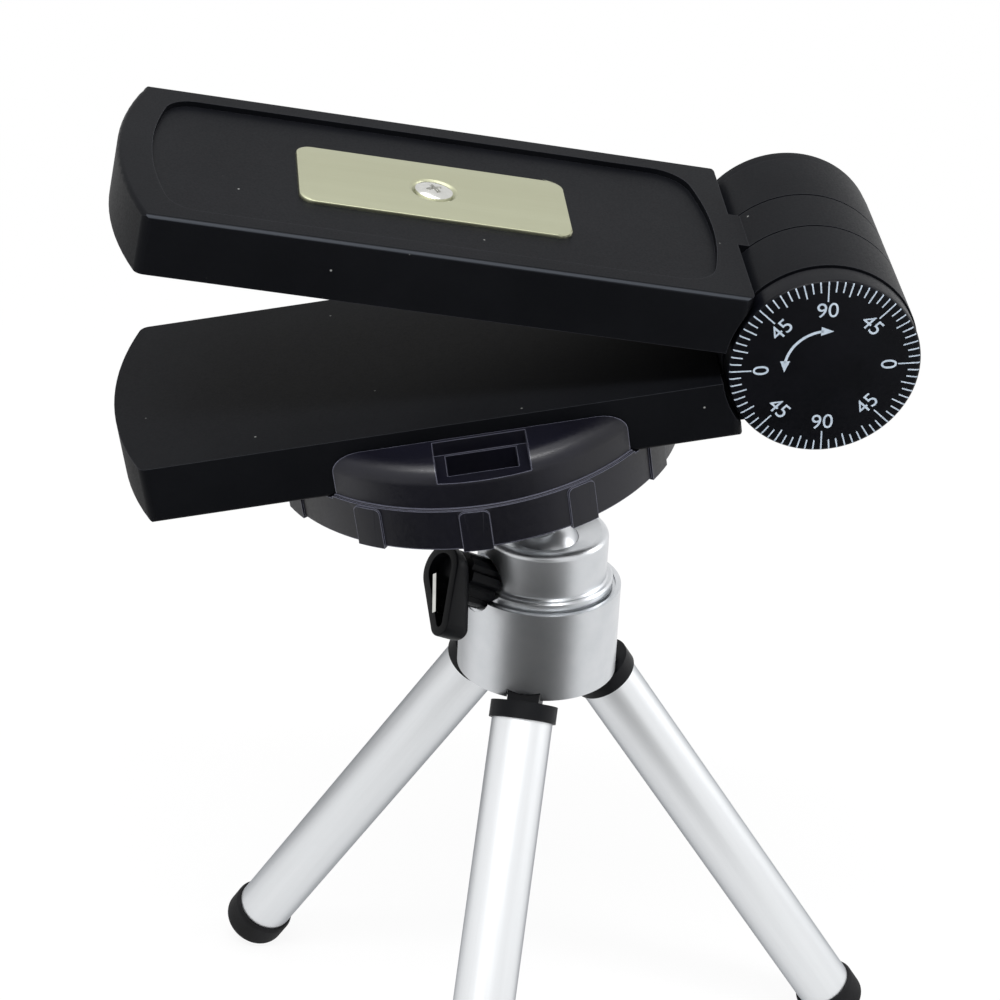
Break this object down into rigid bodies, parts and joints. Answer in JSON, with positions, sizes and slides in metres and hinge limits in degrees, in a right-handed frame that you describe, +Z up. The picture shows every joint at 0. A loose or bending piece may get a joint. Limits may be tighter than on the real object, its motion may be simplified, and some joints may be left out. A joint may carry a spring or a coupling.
{
  "type": "cross line laser level",
  "caption": "Folding cross line laser level with a protractor dial in its hinge, magnet plates on both leaves, a docking base and a mini ball head tripod.",
  "frame": {"origin": "on the floor under the tripod's axis", "axes": "+Z up along the tripod's axis, +X along the level towards its hinge, +Y along the hinge away from the dial"},
  "size_m": [0.1348, 0.1146, 0.1771],
  "materials": {
    "shell": "moulded black plastic with a fine spark-eroded texture",
    "cover": "moulded black plastic with a fine spark-eroded texture",
    "magnet_plate": "pale gold nickel plating, smooth",
    "plate_screw": "bright plating",
    "magnet": "dull dark grey",
    "cell": "bright steel can",
    "contact": "spring brass",
    "board": "green solder mask",
    "switch_case": "tin plated",
    "slider": "black plastic",
    "steel": "machined steel",
    "washer": "white low friction plastic",
    "window": "clear window",
    "dial": "black plastic with pale printed scale",
    "carrier": "black plastic",
    "brass": "machined brass",
    "lens": "moulded line lens",
    "dock": "moulded blue-black plastic, satin",
    "satin_aluminium": "turned and satin anodised",
    "rubber": "black rubber",
    "knob": "black plastic, satin",
    "leg_cap": "black plastic",
    "tube": "drawn tube, clear anodised"
  },
  "bodies": {
    "tripod": {"hub": "satin_aluminium", "ball_housing": "satin_aluminium", "ball_seat": "washer", "leg_pins": "steel"},
    "knob": {"lever_knob": "knob", "clamp_screw": "plate_screw"},
    "leg_1": {"leg_cap_1": "leg_cap", "leg_tube_1": "tube", "leg_foot_1": "rubber"},
    "leg_2": {"leg_cap_2": "leg_cap", "leg_tube_2": "tube", "leg_foot_2": "rubber"},
    "leg_3": {"leg_cap_3": "leg_cap", "leg_tube_3": "tube", "leg_foot_3": "rubber"},
    "ball": {"ball": "steel"},
    "neck": {"neck": "satin_aluminium"},
    "dock": {"docking_base": "dock", "keeper_plate": "steel", "thread_insert": "brass", "top_plate": "satin_aluminium", "top_plate_pad": "rubber", "tripod_screw": "steel"},
    "level": {"lower_shell": "shell", "lower_cover": "cover", "lower_plate": "magnet_plate", "lower_plate_screw": "plate_screw", "lower_magnet": "magnet", "hinge_sleeve": "steel", "friction_washers": "washer", "end_cap": "shell", "laser_window": "window"},
    "upper_leaf": {"upper_shell": "shell", "upper_cover": "cover", "upper_plate": "magnet_plate", "upper_plate_screw": "plate_screw", "upper_magnet": "magnet", "battery_door": "cover", "button_cells": "cell", "cell_contact": "contact", "circuit_board": "board", "switch_body": "switch_case"},
    "switch": {"switch_slider": "slider"},
    "dial": {"dial": "dial", "laser_carrier": "carrier", "laser_module": "brass", "line_lens": "lens"}
  },
  "joints": [
    {"name": "ball_roll", "type": "hinge", "parent": "tripod", "child": "ball", "pos_m": [0, 0, 0.10273], "axis": [0, 1, 0], "range_deg": [-4.9, 25.1]},
    {"name": "ball_pitch", "type": "hinge", "parent": "ball", "child": "neck", "pos_m": [0, 0, 0.10273], "axis": [0.9845, 0, 0.1754], "range_deg": [-20.5, 9.5]},
    {"name": "level_pan", "type": "hinge", "parent": "neck", "child": "dock", "pos_m": [0, 0, 0.10273], "axis": [-0.1746, -0.0958, 0.98], "continuous": true},
    {"name": "level_lift", "type": "slide", "parent": "dock", "child": "level", "axis": [-0.1746, -0.0958, 0.98], "range_m": [0, 0.03]},
    {"name": "leaf_hinge", "type": "hinge", "parent": "level", "child": "upper_leaf", "pos_m": [0.03754, -0.00393, 0.15085], "axis": [-0.0168, 0.9954, 0.0944], "range_deg": [-18.3, 161.7]},
    {"name": "dial_turn", "type": "hinge", "parent": "level", "child": "dial", "pos_m": [0.03754, -0.00393, 0.15085], "axis": [-0.0168, 0.9954, 0.0944], "continuous": true},
    {"name": "switch_slide", "type": "slide", "parent": "upper_leaf", "child": "switch", "axis": [0.9895, 0.0301, -0.1412], "range_m": [0, 0.003]},
    {"name": "knob_turn", "type": "hinge", "parent": "tripod", "child": "knob", "pos_m": [0, 0, 0.09443], "axis": [-0.8002, -0.3731, 0.4695], "range_deg": [0, 360]},
    {"name": "leg_1_fold", "type": "hinge", "parent": "tripod", "child": "leg_1", "pos_m": [0.00703, 0.00198, 0.08703], "axis": [-0.2706, 0.9627, 0], "range_deg": [0, 33.6]},
    {"name": "leg_2_fold", "type": "hinge", "parent": "tripod", "child": "leg_2", "pos_m": [-0.00522, 0.0051, 0.08703], "axis": [-0.6984, -0.7157, 0], "range_deg": [0, 33.6]},
    {"name": "leg_3_fold", "type": "hinge", "parent": "tripod", "child": "leg_3", "pos_m": [-0.0018, -0.00707, 0.08703], "axis": [0.969, -0.247, 0], "range_deg": [0, 33.6]}
  ]
}
